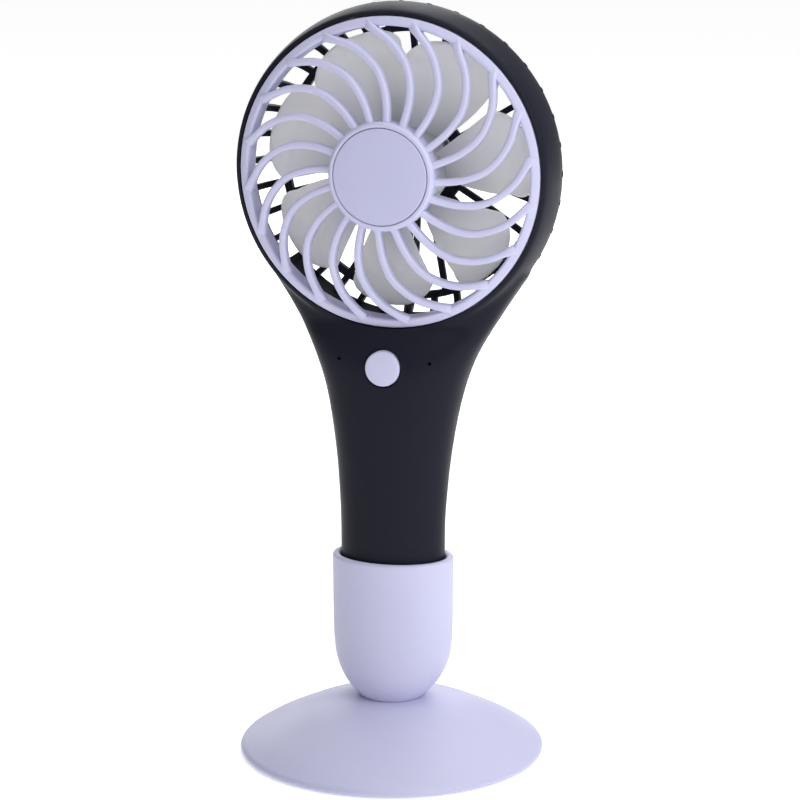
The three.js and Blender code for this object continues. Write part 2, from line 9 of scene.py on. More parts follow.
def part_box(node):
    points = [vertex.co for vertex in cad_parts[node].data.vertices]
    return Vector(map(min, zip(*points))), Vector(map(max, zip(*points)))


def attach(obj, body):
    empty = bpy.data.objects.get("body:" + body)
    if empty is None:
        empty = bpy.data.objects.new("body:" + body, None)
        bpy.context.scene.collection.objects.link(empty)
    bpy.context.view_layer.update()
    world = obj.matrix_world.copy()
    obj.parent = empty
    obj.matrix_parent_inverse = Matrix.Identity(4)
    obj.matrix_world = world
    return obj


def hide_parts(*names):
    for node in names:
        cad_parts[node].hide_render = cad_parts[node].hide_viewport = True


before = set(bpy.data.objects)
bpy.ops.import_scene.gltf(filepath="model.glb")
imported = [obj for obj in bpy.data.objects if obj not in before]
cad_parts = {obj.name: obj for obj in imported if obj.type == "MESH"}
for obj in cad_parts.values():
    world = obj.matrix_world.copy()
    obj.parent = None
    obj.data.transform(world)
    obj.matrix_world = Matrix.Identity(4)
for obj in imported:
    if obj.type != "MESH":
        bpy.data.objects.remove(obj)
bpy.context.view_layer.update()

MM = 0.001


# ---- places and sizes, read from the frame ----
def box_mm(node):
    """A node's lowest and highest corner, in millimetres."""
    low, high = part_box(node)
    return np.array(low) / MM, np.array(high) / MM


badge_low, badge_high = box_mm("hub_badge")
_, grille_high = box_mm("front_grille")
_, rear_high = box_mm("rear_shell")
impeller_low, impeller_high = box_mm("impeller")
button_low, button_high = box_mm("power_button")
cell_low, cell_high = box_mm("battery_cell")
port_low, port_high = box_mm("charge_port")
cup_low, cup_high = box_mm("stand_cup")
disc_low, disc_high = box_mm("cup_disc")
cover_low, cover_high = box_mm("base_cover")
foot_low, foot_high = box_mm("anti_slip_ring")

HEAD_Z = (badge_low[2] + badge_high[2]) / 2        # height of the axis that the fan turns on
RIM_RADIUS = grille_high[0]                        # outside of the lavender rim
RIM_WIDTH = 2.7
RIM_BACK_Y = 1.0
RIM_FRONT_Y = -4.8
RIM_LIP = 0.25                                     # behind its edge the rim all but fills the bore
HUB_RING_RADIUS = 15.7
BADGE_RADIUS = badge_high[0]
BADGE_FACE_Y = badge_low[1]
DUCT_RADIUS = RIM_RADIUS + 0.3                     # the bore of the head that the rim sits in
WALL = 2.0
PART_Y = 8.0                                       # where the head's two shells meet
HEAD_FRONT_Y = -3.4
HEAD_BACK_Y = rear_high[1]
HEAD_RADIUS = rear_high[0]
BUTTON_Z = (button_low[2] + button_high[2]) / 2
BUTTON_RADIUS = (button_high[2] - button_low[2]) / 2
BUTTON_FACE_Y = button_low[1]
PINHOLE_X = 13.7
PINHOLE_Z = 119.9
PINHOLE_RADIUS = 0.5
CELL_Y = (cell_low[1] + cell_high[1]) / 2          # the grip's and the cup's centre line
PORT_Z = (port_low[2] + port_high[2]) / 2
CUP_TOP_Z = cup_high[2]
CUP_SEAM_Z = cup_low[2]
SHELL_SCREWS = [(-20.5, 125.5), (20.5, 125.5), (-14.3, 101.0), (14.3, 101.0)]    # x and z
POST_RADIUS = 2.3                                  # in front, each shell screw bites into a post
PILOT_RADIUS = 1.25
PILOT_DEPTH = 7.0
TUBE_RADIUS = 3.4                                  # behind, it sits in a tube that opens to the back
SCREW_HOLE_RADIUS = 1.4
RECESS_RADIUS = 2.4
MOTOR_SCREW_X = 8.0
MOTOR_HOLE_RADIUS = 1.3
MOTOR_SINK_RADIUS = 2.3
MOTOR_SINK_DEPTH = 1.3


# ---- nodes ----
def add(tree, kind, inputs=None, **settings):
    """Adds a node with its settings. Each input takes a value or another node's output socket."""
    node = tree.nodes.new(kind)
    for name, value in settings.items():
        setattr(node, name, value)
    for key, value in (inputs or {}).items():
        if isinstance(value, bpy.types.NodeSocket):
            tree.links.new(value, node.inputs[key])
        else:
            node.inputs[key].default_value = value
    return node


def linear(hex_colour):
    """An sRGB hex colour as linear RGBA."""
    shares = [int(hex_colour[i:i + 2], 16) / 255 for i in (1, 3, 5)]
    return [((s + 0.055) / 1.055) ** 2.4 if s > 0.04045 else s / 12.92 for s in shares] + [1.0]


# ---- finishes ----
def finish(name, **uniform):
    """A material whose shader has these values on its own sockets. Returns it, its tree, its shader
    and the piece's own coordinates."""
    material = bpy.data.materials.new(name)
    material.use_nodes = True
    tree = material.node_tree
    shader = tree.nodes["Principled BSDF"]
    for socket, value in uniform.items():
        shader.inputs[socket.replace("_", " ")].default_value = value
    place = add(tree, "ShaderNodeTexCoord").outputs["Object"]
    return material, tree, shader, place


def per_metre(size_mm):
    """The noise scale that gives features of this size."""
    return 1.0 / (size_mm * MM)


def moulded(name, colour, shade, roughness, grain_mm, grain_height_mm, flow_mm=14.0, spread=0.06,
            **uniform):
    """Injection-moulded plastic: a spark-eroded grain, and a faint drift of colour and gloss from
    the way that the melt flowed."""
    material, tree, shader, place = finish(name, **uniform)
    flow = add(tree, "ShaderNodeTexNoise",
               {"Vector": place, "Scale": per_metre(flow_mm), "Detail": 3.0, "Roughness": 0.55})
    tint = add(tree, "ShaderNodeMix",
               {"Factor": flow.outputs["Fac"], "A": linear(colour), "B": linear(shade)},
               data_type="RGBA")
    gloss = add(tree, "ShaderNodeMapRange",
                {"Value": flow.outputs["Fac"], "From Min": 0.3, "From Max": 0.7,
                 "To Min": roughness - spread, "To Max": roughness + spread})
    grain = add(tree, "ShaderNodeTexNoise",
                {"Vector": place, "Scale": per_metre(grain_mm), "Detail": 2.0, "Roughness": 0.5})
    relief = add(tree, "ShaderNodeBump",
                 {"Height": grain.outputs["Fac"], "Strength": 1.0, "Distance": grain_height_mm * MM})
    tree.links.new(tint.outputs["Result"], shader.inputs["Base Color"])
    tree.links.new(gloss.outputs["Result"], shader.inputs["Roughness"])
    tree.links.new(relief.outputs["Normal"], shader.inputs["Normal"])
    return material


def satin_black_abs():
    """ABS moulded in a finely spark-eroded tool: a soft sheen that spreads each light, near black
    with a touch of blue. The real grain is about 0.05 mm, drawn at 0.45 mm so that it shows."""
    return moulded("satin_black_abs", "#1E1F29", "#21222C", 0.38, 0.45, 0.004,
                   IOR=1.52, Specular_IOR_Level=0.07, Specular_Tint=(0.86, 0.9, 1.0, 1.0))


def matt_lavender_abs():
    """ABS in a pale lavender with a fine matt grain, which keeps highlights broad and dull."""
    return moulded("matt_lavender_abs", "#C8C8E5", "#C3C3E2", 0.42, 0.5, 0.004,
                   IOR=1.52, Specular_IOR_Level=0.45, Subsurface_Weight=0.05, Subsurface_Scale=0.001)


def matt_lavender_disc_abs():
    """The hub disc is moulded apart from its ring, and came out a shade deeper."""
    return moulded("matt_lavender_disc_abs", "#C0C0E0", "#BCBCDD", 0.5, 0.5, 0.004,
                   IOR=1.52, Specular_IOR_Level=0.4, Subsurface_Weight=0.05, Subsurface_Scale=0.001)


def frosted_polypropylene():
    """Natural polypropylene with a frosted surface: milky, lets light into its depth, soft gloss.
    Its colour is painted greyer towards the hub, as painted shade from the hub and motor."""
    material, tree, shader, place = finish("frosted_polypropylene", IOR=1.49, Subsurface_Weight=0.9,
                                           Subsurface_Scale=0.004, Subsurface_Radius=(0.94, 0.97, 1.0))
    spoke = add(tree, "ShaderNodeVectorMath", {0: place, 1: (0, 0, HEAD_Z * MM)}, operation="SUBTRACT")
    flat = add(tree, "ShaderNodeVectorMath", {0: spoke.outputs["Vector"], 1: (1, 0, 1)},
               operation="MULTIPLY")
    reach = add(tree, "ShaderNodeVectorMath", {0: flat.outputs["Vector"]}, operation="LENGTH")
    painted_hub_shade = add(tree, "ShaderNodeMapRange", {"Value": reach.outputs["Value"], "From Min": 14 * MM,
                                            "From Max": 34 * MM})
    # painted shade: grey near the hub, fading to near white towards the tips
    tint = add(tree, "ShaderNodeMix",
               {"Factor": painted_hub_shade.outputs["Result"], "A": linear("#BABAC0"), "B": linear("#FDFDFE")},
               data_type="RGBA")
    grain = add(tree, "ShaderNodeTexNoise", {"Vector": place, "Scale": per_metre(0.6), "Detail": 2.0})
    relief = add(tree, "ShaderNodeBump", {"Height": grain.outputs["Fac"], "Distance": 0.003 * MM})
    gloss = add(tree, "ShaderNodeMapRange",
                {"Value": grain.outputs["Fac"], "From Min": 0.3, "From Max": 0.7,
                 "To Min": 0.3, "To Max": 0.42})
    tree.links.new(tint.outputs["Result"], shader.inputs["Base Color"])
    tree.links.new(gloss.outputs["Result"], shader.inputs["Roughness"])
    tree.links.new(relief.outputs["Normal"], shader.inputs["Normal"])
    return material


def moulded_rubber():
    """Moulded rubber: dark grey and dull, with a mould-ground grain about 0.6 mm across."""
    return moulded("moulded_rubber", "#3A3A3C", "#333335", 0.82, 0.6, 0.02, IOR=1.52,
                   Specular_IOR_Level=0.3)


def moulded_nylon():
    """Natural nylon: off-white and slightly waxy."""
    return moulded("moulded_nylon", "#E6E2D6", "#DDD8CA", 0.48, 0.5, 0.004, IOR=1.53)


def pvc_insulation(name, colour, shade):
    """Extruded PVC over a stranded wire: smooth with a dull gloss."""
    return moulded(name, colour, shade, 0.45, 0.4, 0.004, flow_mm=4.0, IOR=1.53)


def shrink_film():
    """PET shrink film drawn tight on the cell: glossy, with faint waves where it shrank."""
    return moulded("blue_shrink_film", "#2C6EA6", "#27649A", 0.28, 3.0, 0.03, flow_mm=8.0, IOR=1.57)


def solder_mask():
    """Green lacquer over a woven glass board: the weave, about 0.5 mm a thread, lifts it a little."""
    material, tree, shader, place = finish("green_solder_mask", IOR=1.54, Roughness=0.35)
    weave = add(tree, "ShaderNodeTexWave",
                {"Vector": place, "Scale": per_metre(0.5) / math.tau, "Distortion": 0.6},
                bands_direction="X")
    tint = add(tree, "ShaderNodeMix",
               {"Factor": weave.outputs["Fac"], "A": linear("#1F5A3A"), "B": linear("#235F40")},
               data_type="RGBA")
    relief = add(tree, "ShaderNodeBump", {"Height": weave.outputs["Fac"], "Distance": 0.004 * MM})
    tree.links.new(tint.outputs["Result"], shader.inputs["Base Color"])
    tree.links.new(relief.outputs["Normal"], shader.inputs["Normal"])
    return material


def bare_metal(name, colour, shade, roughness, grain_mm, stretch=(1.0, 1.0, 1.0)):
    """A metal surface with fine drawn or plated marks, stretched along the way that it was worked."""
    material, tree, shader, place = finish(name, Metallic=1.0)
    along = add(tree, "ShaderNodeMapping", {"Vector": place, "Scale": stretch})
    marks = add(tree, "ShaderNodeTexNoise",
                {"Vector": along.outputs["Vector"], "Scale": per_metre(grain_mm), "Detail": 4.0})
    tint = add(tree, "ShaderNodeMix",
               {"Factor": marks.outputs["Fac"], "A": linear(colour), "B": linear(shade)},
               data_type="RGBA")
    gloss = add(tree, "ShaderNodeMapRange",
                {"Value": marks.outputs["Fac"], "To Min": roughness - 0.08, "To Max": roughness + 0.1})
    relief = add(tree, "ShaderNodeBump", {"Height": marks.outputs["Fac"], "Distance": 0.004 * MM})
    tree.links.new(tint.outputs["Result"], shader.inputs["Base Color"])
    tree.links.new(gloss.outputs["Result"], shader.inputs["Roughness"])
    tree.links.new(relief.outputs["Normal"], shader.inputs["Normal"])
    return material


def nickel_plated_steel():
    """Nickel-plated steel: bright, slightly warm, with fine drawn lines along the part."""
    return bare_metal("nickel_plated_steel", "#C4C5C6", "#AEB0B2", 0.28, 0.6, (1.0, 0.15, 1.0))


def zinc_plated_steel():
    """Zinc-plated pressed steel: greyer, with the crystal mottle of the bath, about 1.5 mm across."""
    return bare_metal("zinc_plated_steel", "#A9AEB2", "#8F959A", 0.38, 1.5)


def black_oxide_steel():
    """Steel blackened in a hot oxide bath and oiled: near black with a metal sheen."""
    return bare_metal("black_oxide_steel", "#2A2A2C", "#1E1E20", 0.42, 0.4)


def enamelled_copper():
    """Copper wire under clear enamel, wound tight: one ridge for each 0.3 mm wire."""
    material, tree, shader, place = finish("enamelled_copper", Metallic=1.0, Roughness=0.3)
    turns = add(tree, "ShaderNodeTexWave",
                {"Vector": place, "Scale": per_metre(0.3) / math.tau}, bands_direction="Y")
    # painted shade and highlight: each turn is darker in its grooves and lighter on its crown
    tint = add(tree, "ShaderNodeMix",
               {"Factor": turns.outputs["Fac"], "A": linear("#8A4A28"), "B": linear("#C07A48")},
               data_type="RGBA")
    relief = add(tree, "ShaderNodeBump", {"Height": turns.outputs["Fac"], "Distance": 0.05 * MM})
    tree.links.new(tint.outputs["Result"], shader.inputs["Base Color"])
    tree.links.new(relief.outputs["Normal"], shader.inputs["Normal"])
    return material


def clear_epoxy():
    """The clear epoxy of a small light: warm, glossy, a little cloudy inside."""
    return moulded("clear_epoxy", "#F2EFE2", "#E9E4D2", 0.2, 1.0, 0.002, flow_mm=1.5, IOR=1.53,
                   Subsurface_Weight=0.3, Subsurface_Scale=0.0005)


BLACK = satin_black_abs()
LAVENDER = matt_lavender_abs()
DISC = matt_lavender_disc_abs()
FROSTED = frosted_polypropylene()
RUBBER = moulded_rubber()
NICKEL = nickel_plated_steel()
ZINC = zinc_plated_steel()
SCREW = black_oxide_steel()


# ---- outlines ----
def through(stations, count):
    """Rows that run smoothly through the stations without overshooting them (a monotone cubic),
    spaced evenly along the stations' own length."""
    rows = np.array(stations, float)
    reach = np.concatenate([[0], np.cumsum(np.linalg.norm(np.diff(rows, axis=0), axis=1) ** 0.7)])
    gap = np.diff(reach)[:, None]
    slope = np.diff(rows, axis=0) / gap
    tangent = np.empty_like(rows)
    tangent[0], tangent[-1] = slope[0], slope[-1]
    before, after = slope[:-1], slope[1:]
    w1, w2 = 2 * gap[1:] + gap[:-1], gap[1:] + 2 * gap[:-1]
    with np.errstate(divide="ignore", invalid="ignore"):
        mean = (w1 + w2) / (w1 / before + w2 / after)
    tangent[1:-1] = np.where(before * after > 0, mean, 0)
    at = np.linspace(0, reach[-1], count)
    k = np.clip(np.searchsorted(reach, at, side="right") - 1, 0, len(gap) - 1)
    h = gap[k]
    t = (at - reach[k])[:, None] / h
    return ((1 + 2 * t) * (1 - t) ** 2 * rows[k] + t * (1 - t) ** 2 * h * tangent[k]
            + t * t * (3 - 2 * t) * rows[k + 1] + t * t * (t - 1) * h * tangent[k + 1])


def rounded(corners, closed=False, steps=5):
    """An outline whose corners are (across, along, radius), each turned into an arc of its radius."""
    points = np.array([c[:2] for c in corners], float)
    count = len(corners)
    outline = []
    for i, (point, corner) in enumerate(zip(points, corners)):
        ends = not closed and i in (0, count - 1)
        if ends or corner[2] <= 0:
            outline.append(point)
            continue
        back, ahead = points[i - 1] - point, points[(i + 1) % count] - point
        room = 0.49 * min(np.linalg.norm(back), np.linalg.norm(ahead))
        back, ahead = back / np.linalg.norm(back), ahead / np.linalg.norm(ahead)
        half = math.acos(max(-1.0, min(1.0, float(back @ ahead)))) / 2
        run = min(corner[2] / math.tan(half), room)
        radius = run * math.tan(half)
        middle = back + ahead
        centre = point + middle / np.linalg.norm(middle) * radius / math.sin(half)
        start, end = point + back * run - centre, point + ahead * run - centre
        sweep = math.pi - 2 * half
        for s in np.linspace(0, 1, steps + 1):
            arc = (math.sin((1 - s) * sweep) * start + math.sin(s * sweep) * end) / math.sin(sweep)
            outline.append(centre + arc)
    return np.array(outline)


# ---- meshes ----
def mesh_piece(name, points, faces):
    """A new object from points in millimetres, with doubles merged and its faces pointing out."""
    mesh = bpy.data.meshes.new(name)
    mesh.from_pydata([tuple(p) for p in np.asarray(points, float) * MM], [], faces)
    work = bmesh.new()
    work.from_mesh(mesh)
    bmesh.ops.remove_doubles(work, verts=work.verts, dist=1e-7)
    bmesh.ops.dissolve_degenerate(work, edges=work.edges, dist=1e-8)
    bmesh.ops.recalc_face_normals(work, faces=work.faces)
    work.to_mesh(mesh)
    work.free()
    obj = bpy.data.objects.new(name, mesh)
    bpy.context.scene.collection.objects.link(obj)
    return obj


def skin(name, rings):
    """A closed skin over rings that all have the same number of points."""
    rings = np.asarray(rings, float)
    rows, count, _ = rings.shape
    points = np.vstack([rings.reshape(-1, 3), rings[0].mean(0), rings[-1].mean(0)])
    faces = []
    for row in range(rows - 1):
        for i in range(count):
            a, b = row * count + i, row * count + (i + 1) % count
            faces.append((a, b, b + count, a + count))
    top = (rows - 1) * count
    for i in range(count):
        faces.append((rows * count, (i + 1) % count, i))
        faces.append((rows * count + 1, top + i, top + (i + 1) % count))
    return mesh_piece(name, points, faces)


def turned(name, outline, axis="Y", centre_z=None, closed=False, segments=180, sweep=(0.0, 360.0)):
    """An outline of (radius, along) spun about the head's axis, or about the vertical one. An open
    outline starts and ends on the axis. A sweep short of a full turn is closed with flat ends."""
    outline = np.asarray(outline, float)
    full = sweep[1] - sweep[0] >= 360.0
    angles = np.radians(np.linspace(*sweep, segments, endpoint=not full))
    r, along = outline[:, 0][None, :], outline[:, 1][None, :]
    across, up = r * np.cos(angles)[:, None], r * np.sin(angles)[:, None]
    along = np.broadcast_to(along, across.shape)
    if axis == "Y":
        points = np.stack([across, along, up + (HEAD_Z if centre_z is None else centre_z)], -1)
    else:
        points = np.stack([across, up, along], -1)
    count = len(outline)
    faces = []
    for i in range(segments if full else segments - 1):
        j = (i + 1) % segments
        for k in range(count if closed else count - 1):
            m = (k + 1) % count
            faces.append((i * count + k, i * count + m, j * count + m, j * count + k))
    if not full:
        faces.append(tuple(range(count)))
        faces.append(tuple(range((segments - 1) * count, segments * count)))
    return mesh_piece(name, points.reshape(-1, 3), faces)


def rod(name, x, z, radius, y0, y1, segments=48):
    """A round bar along Y."""
    angles = np.linspace(0, math.tau, segments, endpoint=False)
    rings = [np.stack([x + radius * np.cos(angles), np.full(segments, y), z + radius * np.sin(angles)], -1)
             for y in (y0, y1)]
    return skin(name, rings)


def upright(name, x, y, radius, z0, z1, segments=48):
    """A round bar along Z."""
    angles = np.linspace(0, math.tau, segments, endpoint=False)
    rings = [np.stack([x + radius * np.cos(angles), y + radius * np.sin(angles), np.full(segments, z)], -1)
             for z in (z0, z1)]
    return skin(name, rings)


def block(name, x0, x1, y0, y1, z0, z1):
    """A plain cutting block."""
    base = np.array([(x0, y0), (x1, y0), (x1, y1), (x0, y1)], float)
    rings = [np.column_stack([base, np.full(4, z)]) for z in (z0, z1)]
    return skin(name, rings)


def settle(obj):
    """Turns an object and its modifiers into a plain mesh."""
    depsgraph = bpy.context.evaluated_depsgraph_get()
    mesh = bpy.data.meshes.new_from_object(obj.evaluated_get(depsgraph), depsgraph=depsgraph)
    obj.modifiers.clear()
    obj.data = mesh
    return obj


def drop(*objs):
    for obj in objs:
        bpy.data.objects.remove(obj)


def merge(operation, obj, *tools):
    """Joins tools to a piece, cuts them from it, or keeps what they share. The tools are used up."""
    for tool in tools:
        modifier = obj.modifiers.new(operation.lower(), "BOOLEAN")
        modifier.operation = operation
        modifier.solver = "MANIFOLD"
        modifier.object = tool
        settle(obj)
    drop(*tools)
    return obj


def copy_of(obj, name):
    twin = bpy.data.objects.new(name, obj.data.copy())
    bpy.context.scene.collection.objects.link(twin)
    return twin


def complete(obj, material, body, slot, *nodes, crease=32.0):
    """Gives a finished piece its surface, its body and its finish, and hides the CAD nodes it stands for.
    """
    if material is not None:
        obj.data.materials.clear()
        obj.data.materials.append(material)
    obj.data.shade_smooth()
    obj.data.set_sharp_from_angle(angle=math.radians(crease))
    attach(obj, body)
    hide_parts(*nodes)
    return obj


# ---- what repeats round the head's axis ----
def ring_of_copies():
    """A node tree that sets copies of one shape round an axis along Y at a given height."""
    tree = bpy.data.node_groups.new("ring_of_copies", "GeometryNodeTree")
    for name, kind in [("Geometry", "Geometry"), ("Count", "Int"), ("First Angle", "Float"),
                       ("Step Angle", "Float"), ("Axis Height", "Float"), ("Material", "Material")]:
        tree.interface.new_socket(name=name, in_out="INPUT", socket_type="NodeSocket" + kind)
    tree.interface.new_socket(name="Geometry", in_out="OUTPUT", socket_type="NodeSocketGeometry")
    given = add(tree, "NodeGroupInput").outputs
    points = add(tree, "GeometryNodeMeshLine", {"Count": given["Count"], "Offset": (0, 0, 0)})
    index = add(tree, "GeometryNodeInputIndex")
    turn = add(tree, "ShaderNodeMath",
               {0: index.outputs[0], 1: given["Step Angle"], 2: given["First Angle"]},
               operation="MULTIPLY_ADD")
    back = add(tree, "ShaderNodeMath", {0: turn.outputs[0], 1: -1.0}, operation="MULTIPLY")
    euler = add(tree, "ShaderNodeCombineXYZ", {"Y": back.outputs[0]})
    copies = add(tree, "GeometryNodeInstanceOnPoints",
                 {"Points": points.outputs["Mesh"], "Instance": given["Geometry"],
                  "Rotation": euler.outputs[0]})
    height = add(tree, "ShaderNodeCombineXYZ", {"Z": given["Axis Height"]})
    lifted = add(tree, "GeometryNodeTransform",
                 {"Geometry": copies.outputs["Instances"], "Translation": height.outputs[0]})
    real = add(tree, "GeometryNodeRealizeInstances", {"Geometry": lifted.outputs["Geometry"]})
    painted = add(tree, "GeometryNodeSetMaterial",
                  {"Geometry": real.outputs["Geometry"], "Material": given["Material"]})
    add(tree, "NodeGroupOutput", {"Geometry": painted.outputs["Geometry"]})
    return tree


RING_OF_COPIES = ring_of_copies()


def set_round(obj, count, first, step, material):
    """Repeats a shape, made about the origin, round the head's axis. Angles run from +X towards +Z."""
    modifier = obj.modifiers.new("ring", "NODES")
    modifier.node_group = RING_OF_COPIES
    values = {"Count": count, "First Angle": math.radians(first), "Step Angle": math.radians(step),
              "Axis Height": HEAD_Z * MM, "Material": material}
    for item in RING_OF_COPIES.interface.items_tree:
        if item.in_out == "INPUT" and item.name in values:
            modifier[item.identifier] = values[item.name]
    return settle(obj)


# ---- the fan's body: an oval grip that widens into a round head ----
# height, half width, front y, widest y, rear y, squareness of the front half
BODY = [
    (28.5, 12.0, -6.6, 1.4, 9.4, 2.0), (29.3, 13.6, -8.2, 1.4, 11.0, 2.0),
    (31.0, 15.0, -9.5, 1.4, 12.3, 2.0), (34.5, 15.6, -10.1, 1.4, 12.9, 2.0),
    (68.0, 15.8, -10.1, 1.4, 13.0, 2.0), (84.0, 16.7, -10.15, 2.3, 14.3, 2.05),
    (98.0, 18.4, -10.1, 3.5, 15.8, 2.2), (110.0, 20.8, -9.85, 4.8, 17.4, 2.35),
    (118.5, 23.6, -9.05, 5.6, 18.5, 2.6), (125.0, 26.8, -6.8, 6.6, 19.4, 2.8),
    (131.0, 30.4, -3.6, 7.5, 20.2, 3.0), (137.0, 34.2, -3.3, 8.0, 20.8, 3.2),
    (145.0, 39.6, -3.3, 8.0, 21.2, 3.4),
]
REAR_SQUARENESS = 2.04
# radius and y of the head's outside, from the front edge to the middle of the back
HEAD_SIDE = [(46.4, HEAD_FRONT_Y), (47.7, 1.5), (HEAD_RADIUS, PART_Y)]
HEAD_BACK = [(47.2, 14.0), (44.6, 19.2), (39.5, 22.8), (16.0, 27.8), (0.0, HEAD_BACK_Y)]
# y of the face where the shells meet, at heights up the grip
PARTING = [(64.0, 1.4), (92.0, 2.9), (119.0, 5.6), (137.0, PART_Y)]
VOXEL_MM = 0.8
BLEND_PASSES = 14


def oval_ring(z, half_width, front, middle, rear, squareness, count=120):
    """One level section of the grip: an oval whose front half can be squarer than its rear."""
    angle = np.linspace(0, math.tau, count, endpoint=False)
    ahead = np.sin(angle) < 0
    power = 2 / np.where(ahead, squareness, REAR_SQUARENESS)
    depth = np.where(ahead, middle - front, rear - middle)
    x = half_width * np.sign(np.cos(angle)) * np.abs(np.cos(angle)) ** power
    y = middle + depth * np.sign(np.sin(angle)) * np.abs(np.sin(angle)) ** power
    return np.stack([x, y, np.full(count, z)], -1)


def grip(name, inset=0.0, rows=150):
    levels = through(BODY, rows)
    if inset:
        levels = levels[levels[:, 0] > BODY[0][0] + inset]
    rings = [oval_ring(z, a - inset, front + inset, middle, rear - inset, square)
             for z, a, front, middle, rear, square in levels]
    return skin(name, rings)


HEAD_OUTLINE = through(HEAD_SIDE + HEAD_BACK, 70)


def head_y(r):
    """y of the head's back at a radius, for r under the widest one."""
    back = HEAD_OUTLINE[np.argmax(HEAD_OUTLINE[:, 0]):][::-1]
    return float(np.interp(r, back[:, 0], back[:, 1]))


def head(name):
    return turned(name, np.vstack([[(0.0, HEAD_FRONT_Y)], HEAD_OUTLINE]), segments=240)


def head_hollow(name):
    """The duct, and the space behind the blades that follows the back at one wall's distance."""
    back = [(r, head_y(r) - WALL) for r in (43.8, 41.0, 38.0, 30.0, 22.0, 14.0)]
    outline = [(0, HEAD_FRONT_Y - 5), (DUCT_RADIUS, HEAD_FRONT_Y - 5), (DUCT_RADIUS, 14.8), *back,
               (0, HEAD_BACK_Y - WALL)]
    return turned(name, outline, segments=240)


def parting_y(z):
    return float(np.interp(z, [p[0] for p in PARTING], [p[1] for p in PARTING]))


def front_block(name, shift):
    """Everything in front of the face where the shells meet, moved back by a shift."""
    line = through(PARTING, 30)
    edge = [(PARTING[0][1], -10.0), *[(y, z) for z, y in line], (PART_Y, 260.0)]
    outline = [(-60.0, -10.0), *[(y + shift, z) for y, z in edge], (-60.0, 260.0)]
    rings = [np.array([(x, y, z) for y, z in outline]) for x in (-70.0, 70.0)]
    return skin(name, rings)


def body_solid():
    """The grip and the head run into each other: they are joined, rebuilt as one skin and eased."""
    solid = merge("UNION", grip("body_solid"), head("head_solid"))
    remesh = solid.modifiers.new("one_skin", "REMESH")
    remesh.mode = "VOXEL"
    remesh.voxel_size = VOXEL_MM * MM
    ease = solid.modifiers.new("ease", "SMOOTH")
    ease.factor = 0.5
    ease.iterations = BLEND_PASSES
    return settle(solid)


SEAM_GAP = 0.22
BODY_SOLID = body_solid()


def hollow_body(name):
    """The body's walls, with both hollows and the hole that the motor leads run through."""
    grip_hollow = merge("DIFFERENCE", grip("grip_hollow", WALL, 80),
                        rod("duct_outside", 0, HEAD_Z, DUCT_RADIUS + WALL, -30, 60, 160))
    return merge("DIFFERENCE", copy_of(BODY_SOLID, name), grip_hollow, head_hollow("head_hollow"),
                 upright("lead_hole", 0, 16.0, 1.7, 120, 136))


def post_end(z):
    """y of the face where a front post meets its rear tube."""
    return parting_y(z) + 0.2


def seam_ring(name, start, past, thickness, inner=0.02):
    """A ring along the duct's wall, across the face where the shells meet."""
    low, high = DUCT_RADIUS + inner, DUCT_RADIUS + thickness
    return turned(name, [(low, start), (high, start), (high, PART_Y + past), (low, PART_Y + past)],
                  closed=True, segments=240)


def front_shell():
    """Its lip reaches inside the rear shell and keeps light out of the seam round the head."""
    shell = merge("INTERSECT", hollow_body("front_shell_moulding"), front_block("front_half", 0))
    merge("UNION", shell, seam_ring("lip", PART_Y - 2, 1.0, 1.2))
    for x, z in SHELL_SCREWS:
        post = merge("INTERSECT", rod("post", x, z, POST_RADIUS, -12, post_end(z), 32),
                     copy_of(BODY_SOLID, "trim"))
        merge("UNION", shell, post)
        merge("DIFFERENCE", shell, rod("pilot", x, z, PILOT_RADIUS, post_end(z) - PILOT_DEPTH, 40, 24))
    merge("DIFFERENCE", shell, button_well("button_well"))
    for side in (-1, 1):
        merge("DIFFERENCE", shell,
              rod("pinhole", side * PINHOLE_X, PINHOLE_Z, PINHOLE_RADIUS, -20, -3.6, 24))
    return complete(shell, BLACK, "fan", "black_abs", "front_shell")


def button_well(name):
    """The hole for the button, with its edge eased."""
    hole = BUTTON_RADIUS + 0.35
    return turned(name, [(0, -20), (hole + 0.5, -20), (hole + 0.5, -10.1), (hole + 0.12, -9.75),
                         (hole, -9.3), (hole, 2), (0, 2)], centre_z=BUTTON_Z, segments=96)


# ---- rear grille: short outer bars, a ring, spokes and a hub, all following the head's back ----
OUTER_BARS = 36
SPOKES = 24
BAR_WIDTH = 1.8
BAR_DEPTH = 2.3
BAR_PROUD = 0.12               # the outer bars stand this far out of the head's outline
SPOKE_SUNK = 0.2
REAR_RING = (38.6, 40.6)
REAR_HUB_RADIUS = 15.2
SIDE_SLOT_Y = 10.4
SHOULDER = (220.0, 320.0)      # where the grip meets the head, in degrees from +X towards +Z
SHOULDER_REACH = 45.0


def bar_section(width, depth, radius=0.45, steps=3):
    """Across and down: a bar's section, its outer edges rounded."""
    half = width / 2
    return rounded([(-half, 0, radius), (half, 0, radius), (half, -depth, 0.25), (-half, -depth, 0.25)],
                   closed=True, steps=steps)


def bar_along(name, path, width, depth):
    """A bar in the plane z = 0 that follows a path of (radius, y), its section square to the path."""
    path = np.asarray(path, float)
    ahead = np.gradient(path, axis=0)
    ahead /= np.linalg.norm(ahead, axis=1)[:, None]
    out = np.stack([ahead[:, 1], -ahead[:, 0]], -1)
    if out[-1, 1] < 0:
        out = -out
    section = bar_section(width, depth)
    rings = [[(p[0] + o[0] * d, p[1] + o[1] * d, w) for w, d in section] for p, o in zip(path, out)]
    return skin(name, rings)


def outline_between(outer_y, inner_r, proud):
    """The head's outside from a y on its side round to a radius on its back, moved outwards."""
    keep = HEAD_OUTLINE[(HEAD_OUTLINE[:, 1] >= outer_y) & (HEAD_OUTLINE[:, 0] >= inner_r)]
    ahead = np.gradient(keep, axis=0)
    ahead /= np.linalg.norm(ahead, axis=1)[:, None]
    return keep + proud * np.stack([ahead[:, 1], -ahead[:, 0]], -1)


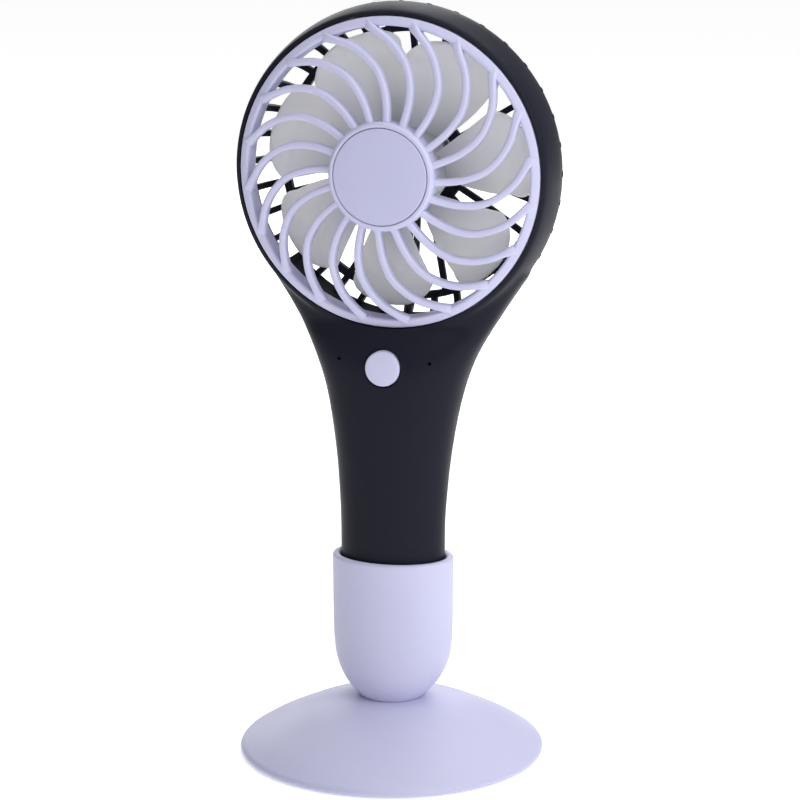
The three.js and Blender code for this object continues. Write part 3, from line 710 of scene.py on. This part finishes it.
def rear_bars():
    step = 360 / OUTER_BARS
    long_count = int(round((SHOULDER[0] + 360 - SHOULDER[1]) / step)) + 1
    long_bar = bar_along("long_bars", outline_between(SIDE_SLOT_Y - 1.2, REAR_RING[0] + 0.6, BAR_PROUD),
                         BAR_WIDTH, BAR_DEPTH + BAR_PROUD)
    set_round(long_bar, long_count, SHOULDER[1] - 360, step, BLACK)
    radii = np.linspace(SHOULDER_REACH + 0.8, REAR_RING[0] + 0.6, 12)
    short_bar = bar_along("short_bars", [(r, head_y(r) - SPOKE_SUNK) for r in radii], BAR_WIDTH, BAR_DEPTH)
    set_round(short_bar, OUTER_BARS - long_count, SHOULDER[0] + step, step, BLACK)
    radii = np.linspace(REAR_RING[0] + 0.8, REAR_HUB_RADIUS - 0.8, 14)
    spoke = bar_along("spokes", [(r, head_y(r) - SPOKE_SUNK) for r in radii], BAR_WIDTH, BAR_DEPTH - 0.3)
    set_round(spoke, SPOKES, 0, 360 / SPOKES, BLACK)
    return [long_bar, short_bar, spoke]


def rear_openings():
    ring_in, ring_out = REAR_RING
    wide = [(ring_out, SIDE_SLOT_Y), (60, SIDE_SLOT_Y), (60, 40), (ring_out, 40)]
    narrow = [(ring_out, 17.5), (SHOULDER_REACH, 17.5), (SHOULDER_REACH, 40), (ring_out, 40)]
    inner = [(REAR_HUB_RADIUS, 15), (ring_in, 15), (ring_in, 40), (REAR_HUB_RADIUS, 40)]
    return [
        turned("side_opening", wide, closed=True, sweep=(SHOULDER[1] - 360, SHOULDER[0])),
        turned("shoulder_opening", narrow, closed=True, sweep=SHOULDER, segments=80),
        turned("spoke_opening", inner, closed=True),
    ]


def rear_shell():
    shell = merge("DIFFERENCE", hollow_body("rear_shell_moulding"), front_block("front_half", SEAM_GAP))
    merge("DIFFERENCE", shell, seam_ring("rebate", PART_Y - 2, 1.15, 1.35, inner=-1.0), *rear_openings())
    merge("UNION", shell, *rear_bars())
    for x, z in SHELL_SCREWS:
        start = post_end(z) + 0.3
        tube = merge("INTERSECT", rod("tube", x, z, TUBE_RADIUS, start, 30, 40),
                     copy_of(BODY_SOLID, "trim"))
        merge("UNION", shell, tube)
        merge("DIFFERENCE", shell, rod("hole", x, z, SCREW_HOLE_RADIUS, -10, 40, 24),
              rod("recess", x, z, RECESS_RADIUS, start + 2, 40, 48))
    for side in (-1, 1):
        x, sink_y = side * MOTOR_SCREW_X, HEAD_BACK_Y - MOTOR_SINK_DEPTH
        merge("DIFFERENCE", shell, rod("hole", x, HEAD_Z, MOTOR_HOLE_RADIUS, 20, 40, 24),
              rod("sink", x, HEAD_Z, MOTOR_SINK_RADIUS, sink_y, 40, 48))
    merge("DIFFERENCE", shell, port_opening("port_opening"))
    return complete(shell, BLACK, "fan", "black_abs", "rear_shell")


def stadium(name, half_length, radius, y0, y1, z, segments=24):
    """A slot-shaped bar along Y with round ends."""
    turn = np.linspace(-math.pi / 2, math.pi / 2, segments)
    right = np.stack([half_length + radius * np.cos(turn), radius * np.sin(turn)], -1)
    outline = np.vstack([right, -right])
    rings = [np.array([(x, y, z + up) for x, up in outline]) for y in (y0, y1)]
    return skin(name, rings)


def port_opening(name):
    return stadium(name, 3.4, 2.0, 8.0, 30.0, PORT_Z)


def charge_port():
    """A pressed steel socket shell with its plastic tongue."""
    y0, y1 = port_low[1], port_high[1]
    tube = merge("DIFFERENCE", stadium("charge_socket", 2.85, 1.55, y0, y1, PORT_Z),
                 stadium("mouth", 2.85, 1.2, y0 + 1.2, y1 + 2, PORT_Z))
    return complete(tube, NICKEL, "fan", "steel", "charge_port")


def charge_tongue():
    tongue = stadium("charge_socket_tongue", 2.85, 0.35, port_low[1] + 1.0, port_high[1] - 1.2, PORT_Z)
    return complete(tongue, BLACK, "fan", "black_abs")


# ---- front grille: rim, hub ring and curved ribs on a shallow dome ----
RIB_COUNT = 20
RIB_WIDTH = 2.0
RIB_DEPTH = 3.0
# radius, y of the front, angle in degrees
RIB_PATH = [
    (14.9, -10.3, 13.3), (18.0, -9.6, 14.3), (22.0, -9.0, 16.0), (26.0, -8.5, 18.6), (30.0, -8.0, 22.1),
    (34.0, -7.35, 27.5), (38.0, -6.5, 34.2), (41.0, -5.7, 40.6), (42.4, -5.0, 43.2), (43.4, -4.1, 44.6),
]


def rib():
    rows = through(RIB_PATH, 46)
    angles = np.radians(rows[:, 2])
    centres = np.stack([rows[:, 0] * np.cos(angles), rows[:, 1], rows[:, 0] * np.sin(angles)], -1)
    ahead = np.gradient(centres, axis=0)
    across = np.stack([-ahead[:, 2], np.zeros(len(rows)), ahead[:, 0]], -1)
    across /= np.linalg.norm(across, axis=1)[:, None]
    section = rounded([(-1, 0, 0.75), (1, 0, 0.75), (1.05, RIB_DEPTH, 0.3), (-1.05, RIB_DEPTH, 0.3)],
                      closed=True, steps=5)
    near_rim = np.clip((rows[:, 0] - 40.0) / 2.5, 0, 1) ** 2
    near_hub = np.clip((17.5 - rows[:, 0]) / 2.5, 0, 1) ** 2
    widths = RIB_WIDTH / 2 * (1 + 0.35 * near_rim + 0.2 * near_hub)
    rings = [[c + a * w * s + np.array([0, d, 0]) for s, d in section]
             for c, a, w in zip(centres, across, widths)]
    return skin("ribs", rings)


def front_grille():
    inner = RIM_RADIUS - RIM_WIDTH
    grille = turned("front_grille_moulding", rounded([
        (inner, RIM_FRONT_Y, 0.7), (RIM_RADIUS - 0.05, HEAD_FRONT_Y, 0.6), (RIM_RADIUS, -1.6, 0),
        (RIM_RADIUS + RIM_LIP, -1.2, 0), (RIM_RADIUS + RIM_LIP, RIM_BACK_Y, 0),
        (inner - 0.5, RIM_BACK_Y, 0.2)], closed=True), closed=True, segments=240)
    lip = BADGE_RADIUS + 0.2
    hub = turned("hub_ring", rounded([
        (0, -9.8, 0), (lip, -9.8, 0), (lip, -11.5, 0.25), (HUB_RING_RADIUS - 0.7, -11.4, 0.4),
        (HUB_RING_RADIUS, -10.6, 0.6), (HUB_RING_RADIUS, -5.0, 0.2), (HUB_RING_RADIUS - 1.2, -5.0, 0.2),
        (HUB_RING_RADIUS - 1.2, -8.6, 0), (0, -8.6, 0)]), segments=160)
    ribs = set_round(rib(), RIB_COUNT, 0, 360 / RIB_COUNT, LAVENDER)
    merge("UNION", grille, hub, ribs)
    return complete(grille, LAVENDER, "fan", "lavender_abs", "front_grille")


def hub_disc():
    disc = turned("hub_disc", rounded([
        (0, badge_high[1], 0), (BADGE_RADIUS, badge_high[1], 0), (BADGE_RADIUS, BADGE_FACE_Y + 0.35, 0.3),
        (BADGE_RADIUS * 0.5, BADGE_FACE_Y + 0.08, 20.0), (0, BADGE_FACE_Y, 0)], steps=6), segments=160)
    return complete(disc, DISC, "fan", "badge_abs", "hub_badge")


# ---- impeller ----
BLADE_COUNT = 7
BLADE_FIRST_ANGLE = 4.5
BLADE_MID_Y = 8.0
BLADE_THICKNESS = 1.2
BLADE_CAMBER = 0.8
BLADE_EDGE = 0.35              # the smaller, the flatter the blade and the squarer its edge
TIP_SQUARENESS = 2.8
BLADE_TIP = impeller_high[0]
HUB_RADIUS = 13.4
# radius, half width in mm, lead of the centre line in degrees, pitch depth in y
BLADE_ROWS = [(12.6, 4.2, 0.0, 4.6), (20.0, 7.7, 2.0, 4.8), (27.0, 10.7, 3.8, 4.5), (34.0, 13.3, 6.0, 4.0)]
TIP_LEAD = 1.0
TIP_DEPTH = 3.2


def blade():
    """One wide blade with a round tip, thinning to its edges."""
    rows = [(r, half, half, lead, depth) for r, half, lead, depth in through(BLADE_ROWS, 22)]
    r0, full, lead0, depth0 = BLADE_ROWS[-1]
    for share in np.sin(np.linspace(0, math.pi / 2, 16))[1:]:
        half = full * max(1 - share ** TIP_SQUARENESS, 0.0) ** (1 / TIP_SQUARENESS)
        rows.append((r0 + share * (BLADE_TIP - r0), half, full, lead0 + share * (TIP_LEAD - lead0),
                     depth0 + share * (TIP_DEPTH - depth0)))
    around = np.linspace(0, math.tau, 56, endpoint=False)
    faces = np.sign(np.sin(around)) * np.abs(np.sin(around)) ** BLADE_EDGE
    rings = []
    for r, half, full, lead, depth in rows:
        across = np.cos(around) * half / full
        thick = BLADE_THICKNESS / 2 * min(1.0, half / 2) * faces
        angle = np.radians(lead) + across * full / r
        y = BLADE_MID_Y - across * depth + BLADE_CAMBER * (1 - across ** 2) + thick
        rings.append(np.stack([r * np.cos(angle), y, r * np.sin(angle)], -1))
    return skin("blades", rings)


def impeller():
    front, back = impeller_low[1], 12.8
    hub = turned("impeller_moulding", rounded([
        (0, front, 0), (HUB_RADIUS, front, 1.4), (HUB_RADIUS, back, 0.3), (HUB_RADIUS - 1.5, back, 0.3),
        (HUB_RADIUS - 1.5, front + 1.6, 0.8), (3.2, front + 1.6, 0.4), (3.2, 11.0, 0.3), (1.3, 11.0, 0),
        (1.3, 0.6, 0), (0, 0.6, 0)]), segments=120)
    blades = set_round(blade(), BLADE_COUNT, BLADE_FIRST_ANGLE, 360 / BLADE_COUNT, FROSTED)
    merge("UNION", hub, blades)
    return complete(hub, FROSTED, "rotor", "frosted_pp", "impeller")


# ---- button and screws ----
def power_button():
    cap = turned("power_button_cap", rounded([
        (0, -6.0, 0), (BUTTON_RADIUS, -6.0, 0.3), (BUTTON_RADIUS, BUTTON_FACE_Y + 0.25, 0.6),
        (BUTTON_RADIUS * 0.5, BUTTON_FACE_Y + 0.05, 12.0), (0, BUTTON_FACE_Y, 0)], steps=6),
        centre_z=BUTTON_Z, segments=96)
    ears = block("ears", -6.6, 6.6, -6.4, -5.9, BUTTON_Z - 1.4, BUTTON_Z + 1.4)
    merge("UNION", cap, ears)
    return complete(cap, LAVENDER, "button", "lavender_abs", "power_button")


def screw(name, x, z, tip, seat, shank, head_radius, head_height=1.2):
    """A pan-head screw along Y with a cross recess, its head to the rear."""
    top = seat + head_height
    body = turned(name, rounded([
        (0, tip, 0), (shank * 0.4, tip, 0), (shank, tip + 0.8, 0), (shank, seat, 0.1),
        (head_radius, seat, 0.15), (head_radius, seat + 0.55, 0.5), (head_radius * 0.6, top, 0.8),
        (0, top, 0)]), centre_z=0, segments=40)
    arm, half = head_radius * 0.55, 0.22
    merge("DIFFERENCE", body, block("slot", -arm, arm, top - 0.6, top + 1, -half, half),
          block("slot", -half, half, top - 0.6, top + 1, -arm, arm))
    body.data.transform(Matrix.Translation((x * MM, 0, z * MM)))
    return body


def join_pieces(first, *others):
    """One mesh from several that don't touch."""
    work = bmesh.new()
    for obj in (first, *others):
        work.from_mesh(obj.data)
    work.to_mesh(first.data)
    work.free()
    drop(*others)
    return first


def shell_screws():
    made = [screw("shell_screws", x, z, post_end(z) - 6.2, post_end(z) + 2.4, 1.0, 2.1)
            for x, z in SHELL_SCREWS]
    nodes = [f"shell_screw_{i + 1}" for i in range(len(SHELL_SCREWS))]
    return complete(join_pieces(*made), SCREW, "fan", "black_screw", *nodes)


def motor_screws():
    seat = HEAD_BACK_Y - 1.2
    made = [screw("motor_screws", side * MOTOR_SCREW_X, HEAD_Z, 21.8, seat, 0.95, 1.9, 1.1)
            for side in (-1, 1)]
    return complete(join_pieces(*made), SCREW, "fan", "black_screw", "motor_screw_1", "motor_screw_2")


# ---- stand ----
# height, half width, half depth of the cup's outside and inside
CUP_OUTSIDE = [
    (16.9, 9.5, 9.2), (18.7, 11.4, 10.3), (20.7, 13.2, 11.4), (24.0, 15.4, 12.6), (27.0, 16.7, 13.25),
    (30.0, 17.5, 13.7), (36.0, 18.05, 13.95), (46.0, 18.2, 14.05), (59.1, 18.3, 14.1),
]
CUP_INSIDE = [
    (27.2, 10.2, 6.3), (27.6, 12.2, 8.1), (29.4, 14.9, 10.7), (32.6, 16.0, 11.8), (59.1, 16.05, 11.85),
]
# radius and height of the base's outside
DOME = [
    (9.5, 16.8), (14.0, 16.1), (18.0, 15.0), (22.0, 13.8), (27.0, 11.85), (32.0, 9.55), (36.0, 7.6),
    (40.0, 5.45), (43.0, 3.55), (44.8, 2.25), (45.4, 1.3), (45.2, 0.6), (44.6, 0.4),
]


def cup_ring(z, a, b, count=144):
    """The seam is round and centred on the base; the grip's centre line lies a little behind it."""
    share = min(max((z - CUP_SEAM_Z) / (34.0 - CUP_SEAM_Z), 0.0), 1.0)
    centre = CELL_Y * share * share * (3 - 2 * share)
    angle = np.linspace(0, math.tau, count, endpoint=False)
    return np.stack([a * np.cos(angle), centre + b * np.sin(angle), np.full(count, z)], -1)


def stand_cup():
    outside, inside = through(CUP_OUTSIDE, 70), through(CUP_INSIDE, 50)[::-1]
    lip = (outside[-1, 1] - inside[0, 1]) / 2
    turn = np.linspace(0, math.pi, 11)[1:-1]
    rise = CUP_TOP_Z - outside[-1, 0]
    rim = [(outside[-1, 0] + rise * math.sin(t), outside[-1, 1] - lip * (1 - math.cos(t)),
            outside[-1, 2] - lip * (1 - math.cos(t))) for t in turn]
    cup = skin("stand_cup_moulding", [cup_ring(*row) for row in [*outside, *rim, *inside]])
    merge("DIFFERENCE", cup, upright("screw_hole", 0, 0, 1.3, 0, 25.0, 32))
    return complete(cup, LAVENDER, "stand", "lavender_abs", "stand_cup")


def cup_disc():
    """A rubber disc on the cup's floor, an oval like the floor itself."""
    low, high, middle = disc_low[2], disc_high[2], (disc_low[1] + disc_high[1]) / 2
    angle = np.linspace(0, math.tau, 96, endpoint=False)
    levels = [(low, 10.9, 6.8), (low + 0.25, 11.15, 7.05), (high - 0.3, 11.3, 7.2), (high, 11.0, 6.9)]
    rings = [np.stack([a * np.cos(angle), middle + b * np.sin(angle), np.full(96, z)], -1)
             for z, a, b in levels]
    return complete(skin("cup_floor_disc", rings), RUBBER, "stand", "grey_rubber", "cup_disc")


def base_shell():
    dome = through(DOME, 90)
    inside = rounded([
        (43.4, 0.4, 0), (43.4, 1.7, 0.4), (39, 3.7, 2), (24, 10.6, 4), (13, 13.8, 3), (5.4, 14.3, 0.5),
        (5.4, 5.0, 0.3), (3.0, 5.0, 0.3), (3.0, 14.0, 0.3), (1.8, 14.0, 0), (1.8, 16.8, 0.2)])
    shell = turned("base_shell_moulding", np.vstack([dome, inside]), "Z", closed=True, segments=240)
    return complete(shell, LAVENDER, "stand", "lavender_abs", "base_shell")


def base_cover():
    cover = turned("base_cover_moulding", rounded([
        (5.6, cover_low[2], 0.2), (42.9, cover_low[2], 0.3), (42.9, 1.6, 0.2), (42.0, cover_high[2], 0.2),
        (5.6, cover_high[2], 0.2)], closed=True), "Z", closed=True)
    return complete(cover, LAVENDER, "stand", "lavender_abs", "base_cover")


def anti_slip_ring():
    ring = turned("anti_slip_foot", rounded([
        (34, foot_low[2], 0.25), (41, foot_low[2], 0.25), (41, foot_high[2], 0.1), (34, foot_high[2], 0.1)],
        closed=True), "Z", closed=True)
    return complete(ring, RUBBER, "stand", "grey_rubber", "anti_slip_ring")


def stand_screw():
    body = turned("stand_screw_steel", rounded([
        (0, 2.6, 0), (2.8, 2.6, 0.7), (2.8, 4.7, 0.1), (1.15, 4.7, 0.1), (1.15, 23.4, 0), (0.5, 24.4, 0),
        (0, 24.4, 0)]), "Z", segments=48)
    merge("DIFFERENCE", body, block("slot", -1.6, 1.6, -0.3, 0.3, 0, 3.6),
          block("slot", -0.3, 0.3, -1.6, 1.6, 0, 3.6))
    return complete(body, ZINC, "stand", "steel", "stand_screw")


# ---- inner parts keep their CAD shape and take a finish ----
def inner_parts():
    copper, nylon, mask = enamelled_copper(), moulded_nylon(), solder_mask()
    red = pvc_insulation("red_pvc", "#A3241F", "#94201C")
    black = pvc_insulation("black_pvc", "#1C1C1E", "#232325")
    finishes = {
        NICKEL: ["motor_shaft", "motor_can", "tact_switch", "cell_tab_top", "cell_tab_bottom"],
        ZINC: ["base_weight"],
        copper: ["motor_armature"],
        nylon: ["motor_end_cap"],
        mask: ["main_board", "charge_board"],
        clear_epoxy(): ["status_led_1", "status_led_2"],
        shrink_film(): ["battery_cell"],
        red: ["battery_lead_red"],
        black: ["battery_lead_black", "motor_lead_1", "motor_lead_2"],
        BLACK: ["switch_plunger"],
    }
    for material, nodes in finishes.items():
        for node in nodes:
            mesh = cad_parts[node].data
            mesh.materials.clear()
            mesh.materials.append(material)


# ---- studio ----
CAMERA_AZIMUTH = 17.035
CAMERA_ELEVATION = 12.62
CAMERA_DISTANCE = 0.807
CAMERA_TARGET = Vector((0.00237, 0.00073, 0.10686))
CAMERA_LENS = 123.85
DIM_SIDE = 50.0                # the room is dimmest this far to the left of the camera, in degrees


def camera():
    azimuth, elevation = math.radians(CAMERA_AZIMUTH), math.radians(CAMERA_ELEVATION)
    back = Vector((math.sin(azimuth) * math.cos(elevation), -math.cos(azimuth) * math.cos(elevation),
                   math.sin(elevation)))
    data = bpy.data.cameras.new("camera")
    data.lens = CAMERA_LENS
    data.sensor_width = 36.0
    data.clip_start, data.clip_end = 0.01, 20.0
    obj = bpy.data.objects.new("camera", data)
    obj.location = CAMERA_TARGET + back * CAMERA_DISTANCE
    obj.rotation_mode = "QUATERNION"
    obj.rotation_quaternion = (-back).to_track_quat("-Z", "Y")
    bpy.context.scene.collection.objects.link(obj)
    bpy.context.scene.camera = obj


def floor():
    half = 4.0
    mesh = bpy.data.meshes.new("floor")
    corners = [(-half, -half, 0), (half, -half, 0), (half, half, 0), (-half, half, 0)]
    mesh.from_pydata(corners, [], [(0, 1, 2, 3)])
    obj = bpy.data.objects.new("floor", mesh)
    bpy.context.scene.collection.objects.link(obj)
    material, tree, shader, place = finish("white_studio_floor", Roughness=0.9, Specular_IOR_Level=0.1,
                                           Emission_Color=(1, 1, 1, 1))
    away = add(tree, "ShaderNodeVectorMath", {0: place}, operation="LENGTH")
    glow = add(tree, "ShaderNodeMapRange",
               {"Value": away.outputs["Value"], "From Min": 0.2, "From Max": 0.8,
                "To Min": 0.36, "To Max": 0.72})
    tree.links.new(glow.outputs["Result"], shader.inputs["Emission Strength"])
    mottle = add(tree, "ShaderNodeTexNoise", {"Vector": place, "Scale": 2.0})
    tint = add(tree, "ShaderNodeMix",
               {"Factor": mottle.outputs["Fac"], "A": linear("#FBFBFB"), "B": linear("#FAFAFA")},
               data_type="RGBA")
    tree.links.new(tint.outputs["Result"], shader.inputs["Base Color"])
    mesh.materials.append(material)


def softbox(name, place, aim, size, watts, tall=None):
    data = bpy.data.lights.new(name, "AREA")
    data.shape = "RECTANGLE"
    data.size, data.size_y = size, tall or size
    data.energy = watts
    obj = bpy.data.objects.new(name, data)
    obj.location = place
    obj.rotation_mode = "QUATERNION"
    obj.rotation_quaternion = (Vector(aim) - Vector(place)).to_track_quat("-Z", "Y")
    bpy.context.scene.collection.objects.link(obj)


def studio():
    world = bpy.data.worlds.new("studio")
    world.use_nodes = True
    bpy.context.scene.world = world
    tree = world.node_tree
    tree.nodes.clear()
    way = add(tree, "ShaderNodeTexCoord").outputs["Generated"]
    azimuth = math.radians(CAMERA_AZIMUTH - DIM_SIDE)
    ahead = add(tree, "ShaderNodeVectorMath", {0: way, 1: (math.sin(azimuth), -math.cos(azimuth), 0)},
                operation="DOT_PRODUCT")
    level = add(tree, "ShaderNodeMapRange",
                {"Value": ahead.outputs["Value"], "From Min": -0.8, "From Max": 1.0,
                 "To Min": 0.52, "To Max": 0.06})
    ambient = add(tree, "ShaderNodeBackground", {"Strength": level.outputs["Result"]})
    backdrop = add(tree, "ShaderNodeBackground", {"Color": (1, 1, 1, 1), "Strength": 1.05})
    path = add(tree, "ShaderNodeLightPath")
    seen = add(tree, "ShaderNodeMixShader", {0: path.outputs["Is Camera Ray"], 1: ambient.outputs[0],
                                             2: backdrop.outputs[0]})
    add(tree, "ShaderNodeOutputWorld", {"Surface": seen.outputs[0]})
    middle = (0.0, 0.0, 0.11)
    softbox("overhead", (0.1, 0.25, 1.0), middle, 1.1, 6)
    softbox("rear_left", (-0.5, 1.0, 0.6), middle, 1.0, 4)
    softbox("front_top", (0.3, -0.8, 1.0), middle, 0.8, 2.5)
    softbox("right_key", (0.85, -0.4, 0.7), middle, 0.5, 5.5, 0.9)


camera()
floor()
studio()
bpy.context.scene.view_settings.view_transform = "Standard"

front_shell()
rear_shell()
front_grille()
hub_disc()
impeller()
power_button()
shell_screws()
motor_screws()
charge_port()
charge_tongue()
stand_cup()
cup_disc()
base_shell()
base_cover()
anti_slip_ring()
stand_screw()
inner_parts()
drop(BODY_SOLID)
